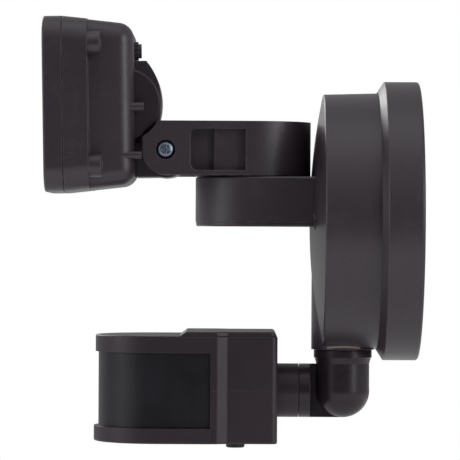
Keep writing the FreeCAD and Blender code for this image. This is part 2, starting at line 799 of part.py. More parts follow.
def head_housing():
    inner_floor_y = head_back_y - head_wall
    widths = (body_front_half_width, body_back_half_width)
    body = tapered((housing_front_y, head_back_y), widths, body_corner, 0.0)
    body = body.makeFillet(head_back_round, edges_in_plane(body, "y", head_back_y))
    room = tapered((housing_front_y - 1, inner_floor_y), widths, body_corner, head_wall)
    room = room.makeFillet(head_back_round - head_wall, edges_in_plane(room, "y", inner_floor_y))
    flange_widths = (head_half_width, head_half_width)
    flange = tapered((housing_front_y, flange_back_y), flange_widths, head_corner, 0.0)
    flange_room_y = (housing_front_y - 1, flange_back_y - head_wall)
    outside = [flange, body]
    holes = [tapered(flange_room_y, flange_widths, head_corner, head_wall), room]
    for across in tower_places:
        tower = rod("y", across, (flange_back_y - 2, flange_back_y + tower_length), tower_radius)
        outside.append(tower.makeFillet(0.6, edges_in_plane(tower, "y", flange_back_y + tower_length)))
    for post in back_posts:
        tip_y = head_back_y + post["length"]
        for side in (-1, 1):
            peg = rod("y", (side * post["x"], post["z"]), (head_back_y - 7, tip_y), post["radius"])
            outside.append(peg.makeFillet(0.4, edges_in_plane(peg, "y", tip_y)))
    shell = without(joined(outside), holes)
    inside = []
    for across in tower_places:
        inside.append(rod("y", across, (housing_front_y, flange_back_y - 1), tower_radius - 1.9))
    for across in pillar_places:
        inside.append(rod("y", across, (led_board_back_y, inner_floor_y + 1), pillar_radius))
    bores = []
    tower_back_y = flange_back_y + tower_length
    for across in tower_places:
        bores.append(rod("y", across, (housing_front_y - 1, tower_back_y + 1), 1.9))
        bores.append(rod("y", across, (tower_back_y - 2.2, tower_back_y + 1), 3.5))
    for across in pillar_places:
        bores.append(rod("y", across, (-200, led_board_back_y + 8), 1.2))
    for across in knuckle_screw_places:
        bores.append(rod("y", across, (inner_floor_y - 1, head_back_y + 1), 2.2))
    bores.append(rod("y", (breather_x, breather_z), (inner_floor_y - 1, head_back_y + 1), 2.6))
    bores.append(rod("y", (0, lead_exit_z), (inner_floor_y - 1, head_back_y + 1), 5.0))
    return without(joined([shell] + inside), bores)


def window_plate(y, margin, radius):
    """Plate the shape of the head's window, wider by margin all round."""
    reach = window_half_height + margin
    z = (head_middle_z - reach, head_middle_z + reach)
    return front_plate(y, window_half_width + margin, z, radius)


def bezel():
    outer = front_plate((head_front_y, bezel_back_y), head_half_width, head_front_z, head_corner)
    outer = outer.makeFillet(bezel_front_round, edges_in_plane(outer, "y", head_front_y))
    holes = [
        window_plate((head_front_y - 1, bezel_back_y + 1), 0.0, window_round),
        window_plate((lens_front_y, bezel_back_y + 1), lens_margin + lens_gap, window_round),
    ]
    for across in tower_places:
        holes.append(rod("y", across, (bezel_back_y - 6, bezel_back_y + 1), 1.5))
    return without(outer, holes)


def reflector():
    """Open tray from the lens down to the LED board, with a rim behind the gasket."""
    wall = 1.2
    rim_y = (housing_front_y - 0.1, housing_front_y - 0.1 + wall)
    mouth_half = (window_half_width - 1.0, window_half_height - 1.0)
    floor_half = (reflector_floor_half_width, window_half_height - 13.0)
    solids = []
    for grow in (wall, 0.0):
        wires = []
        for y, (half_x, half_z) in ((rim_y[0], mouth_half), (led_board_y, floor_half)):
            z = (head_middle_z - half_z - grow, head_middle_z + half_z + grow)
            wires.append(front_rectangle(y, half_x + grow, z, 4.0 + grow))
        solids.append(Part.makeLoft(wires, True, True))
    rim = window_plate(rim_y, lens_margin - 1.4, window_round)
    return joined([solids[0], rim]).cut(solids[1])


def breather_plug():
    across = (breather_x, breather_z)
    collar = rod("y", across, (head_back_y, head_back_y + 2.0), breather_radius)
    cap = rod("y", across, (head_back_y, head_back_y + 3.5), 0.76 * breather_radius)
    stem = rod("y", across, (head_back_y - head_wall - 1.5, head_back_y), 2.5)
    notches = []
    for index in range(breather_notches):
        turn = 2 * math.pi * index / breather_notches
        spot_x = breather_x + breather_radius * math.cos(turn)
        spot_z = breather_z + breather_radius * math.sin(turn)
        notches.append(rod("y", (spot_x, spot_z), (head_back_y - 0.5, head_back_y + 5), 0.7))
    return without(joined([collar, cap, stem]), notches)


def tilt_knuckle():
    """Tongue about the tilt axis and the hood above it, flat against the head's back."""
    half = hood_half_width
    front = head_back_y
    tongue = rod("x", tilt_axis, (-tongue_half_width, tongue_half_width), tongue_radius)
    web_z = (tilt_z - tongue_radius + 0.4, tilt_z + 4.0)
    web = block((-tongue_half_width, tongue_half_width), (front, tilt_y), web_z)
    hood = rod("x", (hood_y, hood_z), (-half, half), hood_radius)
    hood = hood.common(block((-40, 40), (front, 0), (0, hood_top_z)))
    whole = joined([tongue, web, hood])
    holes = [
        rod("x", tilt_axis, (-40, 40), tilt_screw_radius + running_gap),
        rod("y", (0, lead_exit_z), (front - 1, front + 9), 5.0),
    ]
    for across in knuckle_screw_places:
        holes.append(rod("y", across, (front - 1, front + 8), 1.6))
    return without(whole, holes)


def knuckle_discs():
    discs = []
    for side in (-1, 1):
        span = (side * drum_x[0], side * drum_x[1])
        disc = rod("x", (drum_y, drum_z), span, drum_radius)
        disc = disc.makeChamfer(0.9, edges_in_plane(disc, "x", side * drum_x[1]))
        disc = disc.common(block((-40, 40), (head_back_y, 0), (0, 120)))
        discs.append(disc.cut(rod("x", tilt_axis, (-40, 40), tongue_radius + 0.2)))
    return discs


def make_head():
    keep_head("bezel", bezel())
    lens = window_plate((lens_front_y, lens_back_y), lens_margin, window_round)
    keep_head("front_lens", lens)
    gasket = window_plate((lens_back_y, housing_front_y - 0.1), lens_margin, window_round)
    opening = window_plate((lens_back_y - 1, housing_front_y + 1), -0.6, window_round - 1)
    keep_head("lens_gasket", gasket.cut(opening))
    keep_head("reflector", reflector())
    keep_head("head_housing", head_housing())
    half_x, half_z = led_board_half
    board_z = (head_middle_z - half_z, head_middle_z + half_z)
    board = front_plate((led_board_y, led_board_back_y), half_x, board_z, 2.0)
    holes = [rod("y", across, (-200, -100), 1.5) for across in pillar_places]
    keep_head("led_board", without(board, holes))
    emitters = []
    for column in range(led_columns):
        for row in range(led_rows):
            x = (column - (led_columns - 1) / 2) * led_pitch[0]
            z = head_middle_z + (row - (led_rows - 1) / 2) * led_pitch[1]
            width, depth, height = led_size
            spot = block((x - width / 2, x + width / 2), (led_board_y - depth, led_board_y),
                         (z - height / 2, z + height / 2))
            emitters.append(spot)
    keep_head("led_emitters", *emitters)
    screws = []
    for across in pillar_places:
        screws.append(screw("y", across, led_board_y, led_board_back_y + 6, 1.2, 2.4, 1.6))
    keep_head("led_board_screws", *screws)
    seat_y = flange_back_y + tower_length - 2.2
    screws = []
    for across in tower_places:
        screws.append(screw("y", across, seat_y, bezel_back_y - 5, 1.5, 3.1, 2.0))
    keep_head("bezel_screws", *screws)
    driver_y = (head_back_y - head_wall - driver_depth, head_back_y - head_wall)
    keep_head("led_driver", block(driver_x, driver_y, driver_z))
    keep_head("breather_plug", breather_plug())
    keep_head("tilt_knuckle", tilt_knuckle())
    keep_head("knuckle_discs", *knuckle_discs())
    screws = []
    for across in knuckle_screw_places:
        screws.append(screw("y", across, head_back_y - head_wall, head_back_y + 7, 1.6, 3.4, 2.2))
    keep_head("knuckle_screws", *screws)


# Elbow.

elbow_axis = (0, elbow_y)
knuckle_axis = (elbow_y, knuckle_z)
collar_top_z = socket_bottom_z - collar_gap
collar_z = (collar_top_z - collar_height, collar_top_z)
knuckle_top_z = knuckle_z + neck_radius + knuckle_gap
socket_floor_top_z = socket_bottom_z + socket_floor
elbow_nut_z = (socket_floor_top_z + elbow_washer_thickness + 0.15,
               socket_floor_top_z + elbow_washer_thickness + 0.15 + elbow_nut_height)


def elbow_half(side, axis, across, end, radius):
    """Half of a domed rod, on one side of the knuckle's flat, from the knuckle to end."""
    knuckle = {"z": knuckle_z, "y": elbow_y}[axis]
    body = rod(axis, across, (knuckle, end), radius)
    ball = Part.makeSphere(radius, Vector(0, elbow_y, knuckle_z))
    flat = knuckle_gap / 2
    x = (flat, 30) if side > 0 else (-30, -flat)
    keep_side = block(x, (-100, 0), (-130, 0))
    return joined([body, ball]).common(keep_side)


def make_elbow():
    half = elbow_half(1, "z", elbow_axis, collar_z[0] + 0.5, elbow_radius)
    taper_height = collar_z[0] + 0.5 - knuckle_top_z
    upper = Part.makeCone(elbow_radius, collar_radius - 0.4, taper_height, Vector(0, elbow_y, knuckle_top_z))
    collar = rod("z", elbow_axis, collar_z, collar_radius)
    collar = collar.makeChamfer(0.6, edges_in_plane(collar, "z", collar_z[0]))
    spigot = rod("z", elbow_axis, (collar_z[1] - 1, spigot_top_z), spigot_radius)
    tab_ring = ring("z", elbow_axis, (collar_top_z - stop_tab_height, collar_top_z), stop_tab_radius, 13.0)
    tab = tab_ring.common(block((0, 20), stop_tab_y, (-80, 0)))
    holes = [
        rod("z", elbow_axis, (knuckle_top_z + 2, 0), spigot_bore),
        rod("x", knuckle_axis, (-20, 9.5), 3.5),
    ]
    keep("elbow_socket", without(joined([half, upper, collar, spigot, tab]), holes))
    keep("elbow_insert", ring("x", knuckle_axis, (1.0, 9.5), 3.5, knuckle_screw_radius))
    keep("elbow_locknut", nut("z", elbow_axis, elbow_nut_z, elbow_nut_flats, spigot_radius))
    washer_z = (elbow_nut_z[0] - elbow_washer_thickness, elbow_nut_z[0])
    keep("elbow_washer", ring("z", elbow_axis, washer_z, socket_inner_radius - 0.4, spigot_radius))


def make_neck():
    neck_axis = (0, knuckle_z)
    lug = elbow_half(-1, "y", neck_axis, neck_ring_y[1], neck_radius)
    flange_ring = rod("y", neck_axis, neck_ring_y, neck_radius)
    spigot = rod("y", neck_axis, (neck_flange_y[0], neck_ring_y[0]), neck_spigot_radius)
    flange = rod("y", neck_axis, neck_flange_y, neck_flange_radius)
    head_seat = -neck_radius + 4.6
    holes = [
        rod("x", knuckle_axis, (-20, 0), knuckle_screw_radius + running_gap),
        rod("x", knuckle_axis, (-20, head_seat), 5.4),
        rod("y", neck_axis, (neck_flange_y[0] - 1, neck_ring_y[1] - 2), neck_bore),
    ]
    keep("elbow_neck", without(joined([lug, flange_ring, spigot, flange]), holes))
    washer = ring("x", knuckle_axis, (head_seat - 0.8, head_seat), 4.6, knuckle_screw_radius + 0.1)
    keep("spring_washer", washer)
    keep("elbow_screw", screw("x", knuckle_axis, head_seat - 0.8, 8.5, knuckle_screw_radius - 0.05, 4.4, 2.6))


# Sensor.

sensor_low, sensor_high = sensor_z
shell_screw_places = []
for shell_x in (-shell_screw_x, shell_screw_x):
    for shell_y in shell_screw_y:
        shell_screw_places.append((shell_x, shell_y))
dial_places = {"range_dial": -dial_x, "time_dial": dial_x}
dial_board_z = (sensor_low + sensor_wall + 4.4, sensor_low + sensor_wall + 4.4 + board_thickness)


def sensor_plan(inset, z):
    """Upright prism of the sensor's outline from above, drawn in by inset."""
    half = sensor_half_width - inset
    box_half = sensor_box_half_width - inset
    step_front, step_back = sensor_step_y
    outline = [
        (half, sensor_centre_y - half, half),
        (half, step_front, sensor_step_round),
        (box_half, step_back, sensor_step_round),
        (box_half, sensor_back_y - inset, sensor_back_round),
    ]
    corners = [(Vector(x, y, z[0]), radius) for x, y, radius in outline]
    for x, y, radius in reversed(outline):
        corners.append((Vector(-x, y, z[0]), radius))
    return prism(corners, Vector(0, 0, z[1] - z[0]))


def sensor_shell(z, rim_z, wall_z):
    """One half of the housing, between z, with its rim at rim_z and its plate at wall_z."""
    neck_axis = (0, knuckle_z)
    outer = sensor_plan(0.0, z)
    outer = outer.makeFillet(0.8, edges_in_plane(outer, "z", wall_z))
    inner_z = (sensor_low + sensor_wall, sensor_high - sensor_wall)
    inner = sensor_plan(sensor_wall, inner_z)
    window = block((-60, 60), (-200, window_back_y), window_z)
    barrel_y = (sensor_back_y - sensor_wall, neck_ring_y[0] - roll_gap)
    barrel = rod("y", neck_axis, barrel_y, neck_radius).common(block((-60, 60), (-80, 0), z))
    shell = outer
    if rim_z[0] == sensor_low:
        front = block((-60, 60), (-200, window_back_y), rim_z)
        chin_piece = sensor_plan(-chin, rim_z)
        chin_piece = chin_piece.makeFillet(0.8, edges_in_plane(chin_piece, "z", sensor_low))
        shell = joined([shell, chin_piece.common(front)])
    shell = joined([without(shell, [inner, window]), barrel])
    groove_y = (neck_flange_y[0] - roll_gap, neck_flange_y[1] + roll_gap)
    bores = [
        rod("y", neck_axis, (sensor_back_y - 5, 0), neck_spigot_radius + running_gap),
        rod("y", neck_axis, groove_y, neck_flange_radius + roll_gap),
    ]
    bosses = []
    for across in shell_screw_places:
        column = rod("z", across, (sensor_low + 1, sensor_high - 1), 3.2)
        bosses.append(column.common(block((-60, 60), (-200, 0), z)))
        bores.append(rod("z", across, (sensor_low - 1, sensor_seam_z + 10), 1.3))
        bores.append(rod("z", across, (sensor_low - 1, sensor_low + 1.8), 3.0))
    for x in dial_places.values():
        bores.append(rod("z", (x, dial_y), (sensor_low - 2, sensor_low + sensor_wall + 0.5), dial_radius + 0.3))
    slot_half = switch_size[0] / 2 + switch_travel + 0.4
    slot_y = (switch_y - switch_size[1] / 2 - 0.3, switch_y + switch_size[1] / 2 + 0.3)
    bores.append(block((-slot_half, slot_half), slot_y, (sensor_low - 2, sensor_low + sensor_wall + 0.5)))
    return without(joined([shell] + bosses), bores)


def sensor_lid():
    z = (sensor_high, sensor_high + lid_height)
    plan = sensor_plan(lid_inset, z)
    plan = plan.makeFillet(0.8, edges_in_plane(plan, "z", z[1]))
    back_y = sensor_back_y - lid_inset
    profile = [
        ((lid_front_y, z[0]), 0),
        ((lid_front_y + lid_slope, z[1]), 0),
        ((back_y, z[1]), lid_back_round),
        ((back_y, z[0]), 0),
    ]
    return plan.common(side_prism((-60, 60), profile))


def dial(x):
    face_z = sensor_low - dial_proud
    cap = rod("z", (x, dial_y), (face_z, sensor_low + sensor_wall - 0.4), dial_radius)
    cap = cap.makeChamfer(0.5, edges_in_plane(cap, "z", face_z))
    stem = rod("z", (x, dial_y), (sensor_low + 1, dial_board_z[0] - 1), 1.5)
    slot = block((x - 3.4, x + 3.4), (dial_y - 0.6, dial_y + 0.6), (face_z - 1, face_z + 1.0))
    return joined([cap, stem]).cut(slot)


def make_sensor():
    keep("sensor_upper_shell", sensor_shell((sensor_seam_z, sensor_high), (window_z[1], sensor_high),
                                            sensor_high))
    keep("sensor_lower_shell", sensor_shell((sensor_low, sensor_seam_z), (sensor_low, window_z[0]),
                                            sensor_low))
    keep("sensor_lid", sensor_lid())
    front = block((-60, 60), (-200, window_back_y), window_z)
    lens = sensor_plan(pir_lens_inset, window_z).common(front)
    lens_inside = sensor_plan(pir_lens_inset + pir_lens_thickness, (window_z[0] - 1, window_z[1] + 1))
    keep("pir_lens", lens.cut(lens_inside))
    board_half = sensor_half_width - sensor_wall - 0.2
    board_y = (detector_board_y - board_thickness, detector_board_y)
    board_z = (sensor_low + sensor_wall + 0.2, sensor_high - sensor_wall - 0.2)
    keep("detector_board", block((-board_half, board_half), board_y, board_z))
    can_span = (board_y[0] - 4.3, board_y[0])
    can = rod("y", (0, knuckle_z), can_span, detector_radius)
    window = block((-2.0, 2.0), (can_span[0] - 1, can_span[0] + 0.4), (knuckle_z - 1.5, knuckle_z + 1.5))
    keep("detector_can", can.cut(window))
    dial_half = shell_screw_x - 3.4
    board = block((-dial_half, dial_half), (dial_y - 7, dial_y + 8), dial_board_z)
    keep("dial_board", board)
    pots = []
    for x in dial_places.values():
        pot_z = (dial_board_z[0] - 3.4, dial_board_z[0])
        pots.append(ring("z", (x, dial_y), pot_z, 4.9, 1.5 + running_gap))
    keep("potentiometers", *pots)
    seat_z = sensor_low + 1.8
    screws = []
    for across in shell_screw_places:
        screws.append(screw("z", across, seat_z, sensor_seam_z + 8, 1.3, 2.8, 1.6))
    keep("shell_screws", *screws)
    half_x = switch_size[0] / 2
    half_y = switch_size[1] / 2
    inner_floor_z = sensor_low + sensor_wall
    slider_z = (sensor_low - switch_proud, inner_floor_z - 0.2)
    slider = block((-half_x, half_x), (switch_y - half_y, switch_y + half_y), slider_z)
    keep("mode_switch", slider)
    body_y = (detector_board_y + 0.1, switch_y + half_y + 1.0)
    keep("switch_body", block((-9.0, 9.0), body_y, (inner_floor_z, inner_floor_z + 4.0)))
    for name, x in dial_places.items():
        keep(name, dial(x))


make_canopy()
make_control_board()
make_bracket()
make_arm()
make_head()
make_elbow()
make_neck()
make_sensor()

os.makedirs("parts", exist_ok=True)
for name, shape in parts.items():
    shape.exportStep("parts/" + name + ".step")
    print(name, len(shape.Solids), shape.isValid(), round(shape.Volume, 1))
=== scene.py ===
"""Looks of the motion sensor security light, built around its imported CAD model."""

import math
import bmesh
import bpy
from mathutils import Matrix, Vector


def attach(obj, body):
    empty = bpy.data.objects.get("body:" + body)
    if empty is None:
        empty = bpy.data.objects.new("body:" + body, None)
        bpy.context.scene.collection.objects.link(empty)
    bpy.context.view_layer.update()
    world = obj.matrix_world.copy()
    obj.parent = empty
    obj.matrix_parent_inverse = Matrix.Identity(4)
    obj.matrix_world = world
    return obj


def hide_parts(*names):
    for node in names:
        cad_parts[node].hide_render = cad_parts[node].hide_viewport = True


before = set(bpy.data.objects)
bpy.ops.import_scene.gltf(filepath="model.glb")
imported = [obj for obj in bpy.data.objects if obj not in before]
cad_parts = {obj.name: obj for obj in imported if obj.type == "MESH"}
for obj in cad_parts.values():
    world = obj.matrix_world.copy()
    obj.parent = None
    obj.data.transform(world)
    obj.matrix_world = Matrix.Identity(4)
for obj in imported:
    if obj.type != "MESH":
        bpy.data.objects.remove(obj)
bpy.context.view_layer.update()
MM = 0.001

# Sockets of a Mix node that mixes colours, by number since several share a name.
MIX_SHARE, MIX_FIRST, MIX_SECOND, MIX_RESULT = 0, 6, 7, 2


# Shader maths as Python expressions.

class Value:
    """A number or a vector that a material works out, usable in sums."""

    def __init__(self, finish, socket):
        self.finish = finish
        self.socket = socket

    def maths(self, operation, *others):
        return self.finish.maths(operation, self, *others)

    def __add__(self, other):
        return self.maths("ADD", other)

    def __sub__(self, other):
        return self.maths("SUBTRACT", other)

    def __mul__(self, other):
        return self.maths("MULTIPLY", other)

    def __pow__(self, other):
        return self.maths("POWER", other)

    def __radd__(self, other):
        return self.finish.maths("ADD", other, self)

    def __rsub__(self, other):
        return self.finish.maths("SUBTRACT", other, self)

    def __rmul__(self, other):
        return self.finish.maths("MULTIPLY", other, self)

    def __neg__(self):
        return 0.0 - self

    def above(self, limit):
        return self.maths("GREATER_THAN", limit)

    def below(self, limit):
        return self.maths("LESS_THAN", limit)

    def most(self, other):
        return self.maths("MAXIMUM", other)

    def size(self):
        return self.maths("ABSOLUTE")

    def wave(self):
        return self.maths("SINE")

    def smooth(self, low, high):
        """0 below low and 1 above high, eased between them."""
        settings = {"interpolation_type": "SMOOTHSTEP"}
        sockets = {"Value": self, "From Min": low, "From Max": high}
        return self.finish.add("MapRange", settings, sockets)["Result"]


class Node:
    """A shader node whose outputs are read as values."""

    def __init__(self, finish, node):
        self.finish = finish
        self.node = node

    def __getitem__(self, output):
        return Value(self.finish, self.node.outputs[output])


class Finish:
    """A node material named for what it is made of."""

    def __init__(self, name, **shader_values):
        self.material = bpy.data.materials.new(name)
        self.material.use_nodes = True
        self.tree = self.material.node_tree
        self.shader = self.tree.nodes["Principled BSDF"]
        self.set(**shader_values)

    def add(self, kind, settings=None, sockets=None):
        """A node with its settings set first, then the values or links of its sockets."""
        node = self.tree.nodes.new("ShaderNode" + kind)
        for name, value in (settings or {}).items():
            setattr(node, name, value)
        for name, value in (sockets or {}).items():
            self.give(node.inputs[name], value)
        return Node(self, node)

    def give(self, socket, value):
        if isinstance(value, Value):
            self.tree.links.new(value.socket, socket)
        elif socket.type == "RGBA" and len(value) == 3:
            socket.default_value = (*value, 1.0)
        else:
            socket.default_value = value

    def maths(self, operation, *values):
        sockets = dict(enumerate(values))
        return self.add("Math", {"operation": operation}, sockets)["Value"]

    def vectors(self, operation, *values, output="Vector"):
        sockets = dict(enumerate(values))
        return self.add("VectorMath", {"operation": operation}, sockets)[output]

    def mix(self, share, first, second):
        """First colour where share is 0 and the second where it is 1."""
        sockets = {MIX_SHARE: share, MIX_FIRST: first, MIX_SECOND: second}
        return self.add("Mix", {"data_type": "RGBA"}, sockets)[MIX_RESULT]

    def place(self):
        return self.add("TexCoord")["Object"]

    def along(self, axis):
        return self.add("SeparateXYZ", None, {"Vector": self.place()})[axis]

    def stretched(self, scale):
        sockets = {"Vector": self.place(), "Scale": scale}
        return self.add("Mapping", None, sockets)["Vector"]

    def noise(self, scale, detail=2.0, roughness=0.5, place=None):
        sockets = {"Vector": place or self.place(), "Scale": scale, "Detail": detail,
                   "Roughness": roughness}
        return self.add("TexNoise", None, sockets)["Fac"]

    def cells(self, scale, feature="F1", distance="EUCLIDEAN"):
        settings = {"feature": feature, "distance": distance}
        sockets = {"Vector": self.place(), "Scale": scale}
        return self.add("TexVoronoi", settings, sockets)["Distance"]

    def rounded(self, radius):
        """Normal of the surface with its edges rounded to a radius."""
        return self.add("Bevel", {"samples": 6}, {"Radius": radius})["Normal"]

    def edges(self, rounded):
        """1 on an edge that is rounded and 0 on the flat."""
        straight = self.add("NewGeometry")["Normal"]
        return 1.0 - self.vectors("DOT_PRODUCT", rounded, straight, output="Value")

    def bump(self, height, depth, normal=None):
        """Normal with a height between 0 and 1 laid on it, depth metres deep."""
        sockets = {"Height": height, "Distance": depth, "Strength": 1.0}
        if normal:
            sockets["Normal"] = normal
        return self.add("Bump", None, sockets)["Normal"]

    def set(self, **values):
        """Give the shader's own sockets numbers or links; underscores stand for spaces."""
        for name, value in values.items():
            self.give(self.shader.inputs[name.replace("_", " ")], value)
        return self


def tint(colour, share):
    return tuple(part * share for part in colour)


# Finishes. Edge radii and bump depths are in metres, grain sizes in cells to a metre.

CAST_EDGE = 0.00055
MOULDED_EDGE = 0.0004
PLATED_EDGE = 0.00022
TURNING_MARKS = 2400.0
# Light colour of the socket's edge over the elbow: partly bare casting, partly a painted highlight.
BARE_CASTING_HIGHLIGHT = (0.40, 0.31, 0.22)
ELBOW_OUT = 37.4 * MM                       # the elbow's axis, from the wall
COVER_SKIN = 64.5 * MM                      # radius of the cover's skin at the wall
SOCKET_WALL = (15.75 * MM, 16.15 * MM)      # radii between which the socket's edge lies
FLASH_HIGHLIGHT_FROM_X = 13.6 * MM
FLASH_HIGHLIGHT_HEIGHT = 0.9 * MM


def socket_flash_highlight(finish):
    """1 on the casting edge over the elbow, where its socket leaves the cover's skin; painted light
    there, partly as bare casting and partly as a painted highlight.
    """
    x, y, z = (finish.along(axis) for axis in "XYZ")
    off_axis = (x * x + (y + ELBOW_OUT) ** 2.0) ** 0.5
    skin = (COVER_SKIN ** 2 - x * x).most(0.0) ** 0.5
    below_skin = -z - skin
    inner, outer = SOCKET_WALL
    wall = off_axis.above(inner) * off_axis.below(outer) * x.above(FLASH_HIGHLIGHT_FROM_X)
    return wall * below_skin.above(0.0) * below_skin.below(FLASH_HIGHLIGHT_HEIGHT)


def powder_coat(name, colour, grain=2100.0, depth=0.00009, roughness=0.43, edge=CAST_EDGE):
    """Baked powder coat: pebbled skin, cloudy patches, and edges painted lighter, partly as worn
    paint and partly as a painted highlight.
    """
    f = Finish(name, Specular_IOR_Level=0.62, Coat_Roughness=0.32)
    patches = f.noise(22.0, 3.0)
    skin = f.noise(grain, 3.0, 0.62)
    pebbles = f.cells(grain * 1.25)
    rounded = f.rounded(edge)
    rubbed_and_highlit = f.edges(rounded).smooth(0.006, 0.07) * f.noise(260.0, 4.0, 0.6).smooth(0.38, 0.62)
    dust = f.noise(90.0, 5.0, 0.65).smooth(0.52, 0.78)
    base = f.mix(skin.smooth(0.46, 0.62) * 0.5, tint(colour, 0.8), tint(colour, 1.9))
    base = f.mix(patches.smooth(0.35, 0.65) * 0.3, base, tint(colour, 1.15))
    base = f.mix(dust * 0.1, base, tint(colour, 2.2))
    # Edges painted much lighter: partly worn paint, partly a painted highlight along each edge.
    base = f.mix(rubbed_and_highlit * 0.75, base, tint(colour, 4.2))
    # Painted highlight, partly bare casting, along the socket's edge over the elbow.
    base = f.mix(socket_flash_highlight(f) * 0.8, base, BARE_CASTING_HIGHLIGHT)
    height = skin * 0.65 + pebbles * 0.35
    f.set(Base_Color=base,
          Roughness=roughness + 0.10 * (patches - 0.5) + 0.12 * dust - 0.08 * rubbed_and_highlit,
          Coat_Weight=0.3 + 0.15 * skin, Normal=f.bump(height, depth, rounded))
    return f.material


def moulded(name, colour, grain=1900.0, depth=0.000022, roughness=0.40):
    """Moulded plastic with a spark-eroded texture, faint flow clouds, and edges painted lighter,
    partly as wear and partly as a painted highlight.
    """
    f = Finish(name, Specular_IOR_Level=0.5)
    clouds = f.noise(30.0, 3.0, 0.55, f.stretched((1.0, 0.45, 1.0)))
    skin = f.noise(grain, 2.0, 0.55)
    rounded = f.rounded(MOULDED_EDGE)
    rubbed_and_highlit = f.edges(rounded).smooth(0.008, 0.09) * f.noise(300.0, 3.0).smooth(0.42, 0.62)
    handled = f.noise(70.0, 4.0, 0.6).smooth(0.5, 0.8)
    base = f.mix(clouds.smooth(0.3, 0.7), tint(colour, 0.88), tint(colour, 1.12))
    base = f.mix(skin.smooth(0.4, 0.7) * 0.3, base, tint(colour, 1.35))
    # Edges painted lighter: partly wear, partly a painted highlight.
    base = f.mix(rubbed_and_highlit * 0.6, base, tint(colour, 3.2))
    f.set(Base_Color=base,
          Roughness=roughness + 0.08 * (clouds - 0.5) - 0.07 * handled - 0.05 * rubbed_and_highlit,
          Normal=f.bump(skin, depth, rounded))
    return f.material


def plated(name, colour, roughness=0.34):
    """Zinc plated steel with fine turning marks, a cloudy passivation, and edges painted lighter,
    partly as wear and partly as a painted highlight.
    """
    f = Finish(name, Metallic=1.0)
    clouds = f.noise(160.0, 4.0, 0.6)
    marks = f.noise(TURNING_MARKS, 2.0, 0.6)
    rounded = f.rounded(PLATED_EDGE)
    rubbed_and_highlit = f.edges(rounded).smooth(0.01, 0.1)
    base = f.mix(clouds.smooth(0.35, 0.65), tint(colour, 0.7), colour)
    # Edges painted near white: partly worn plating, partly a painted highlight.
    base = f.mix(rubbed_and_highlit * 0.5, base, (0.78, 0.78, 0.8))
    f.set(Base_Color=base, Roughness=roughness + 0.2 * (clouds - 0.5) + 0.08 * marks,
          Normal=f.bump(marks, 0.000012, rounded))
    return f.material


def rubbery(name, colour, grain=1300.0, depth=0.00006, roughness=0.8):
    """Foam or silicone with fine pores, painted darker inside as painted shade."""
    f = Finish(name, Specular_IOR_Level=0.3)
    pores = f.cells(grain)
    clouds = f.noise(120.0, 3.0)
    base = f.mix(clouds, tint(colour, 0.75), tint(colour, 1.2))
    # Pores painted darker: painted shade inside each pore.
    base = f.mix(pores.smooth(0.0, 0.4), tint(colour, 0.5), base)
    f.set(Base_Color=base, Roughness=roughness + 0.1 * (clouds - 0.5),
          Normal=f.bump(pores, depth))
    return f.material


def smoked_lens():
    """Smoked sensor window: glossy skin over faint lens segments."""
    f = Finish("smoked_lens", Specular_IOR_Level=0.4, Coat_IOR=1.5, Coat_Roughness=0.08)
    height = f.along("Z")
    rows = (height * 420.0).wave().size().smooth(0.0, 0.12)
    depth = f.along("Y")
    columns = (depth * 520.0).wave().size().smooth(0.0, 0.12)
    clouds = f.noise(45.0, 3.0)
    base = f.mix(clouds.smooth(0.3, 0.7), (0.0075, 0.007, 0.0105), (0.0125, 0.0115, 0.0165))
    base = f.mix((1.0 - rows * columns) * 0.2, base, (0.020, 0.019, 0.025))
    ripple = f.noise(60.0, 2.0) * 0.5 + 0.5 * rows * columns
    f.set(Base_Color=base, Roughness=0.34 + 0.06 * clouds, Coat_Weight=0.05 + 0.06 * clouds,
          Normal=f.bump(ripple, 0.00003, f.rounded(MOULDED_EDGE)))
    return f.material


def clear_glass():
    f = Finish("clear_glass", Base_Color=(0.93, 0.97, 0.96), Transmission_Weight=1.0, IOR=1.48)
    smears = f.noise(35.0, 5.0, 0.6).smooth(0.5, 0.8)
    f.set(Roughness=0.015 + 0.05 * smears, Normal=f.bump(f.noise(25.0, 1.0), 0.00004))
    return f.material


def mirror_tray():
    """Metallised tray with a peened surface that spreads the light."""
    f = Finish("mirror_tray", Metallic=1.0)
    peens = f.cells(420.0, "SMOOTH_F1")
    haze = f.noise(70.0, 4.0)
    f.set(Base_Color=f.mix(haze, (0.68, 0.69, 0.71), (0.86, 0.87, 0.88)),
          Roughness=0.16 + 0.14 * haze, Normal=f.bump(peens, 0.00035))
    return f.material


def circuit(name, mask, copper, pitch=190.0):
    """Solder mask over copper tracks that run in straight steps, with small vias."""
    f = Finish(name, Specular_IOR_Level=0.5)
    blocks = f.cells(pitch, distance="CHEBYCHEV")
    tracks = (blocks * 9.0).wave().smooth(0.1, 0.35)
    vias = 1.0 - f.cells(pitch * 1.7).smooth(0.10, 0.16)
    weave = f.noise(900.0, 2.0)
    base = f.mix(tracks, mask, copper)
    base = f.mix(weave * 0.25, base, tint(mask, 0.6))
    base = f.mix(vias * 0.8, base, (0.55, 0.52, 0.45))
    f.set(Base_Color=base, Roughness=0.36 + 0.16 * weave - 0.06 * tracks,
          Normal=f.bump(tracks * 0.7 + vias * 0.3, 0.00003))
    return f.material


def phosphor():
    f = Finish("phosphor", Specular_IOR_Level=0.4)
    grains = f.cells(3200.0)
    base = f.mix(grains.smooth(0.1, 0.7), (0.92, 0.74, 0.16), (0.80, 0.58, 0.08))
    f.set(Base_Color=base, Roughness=0.35 + 0.2 * grains, Normal=f.bump(grains, 0.00002))
    return f.material


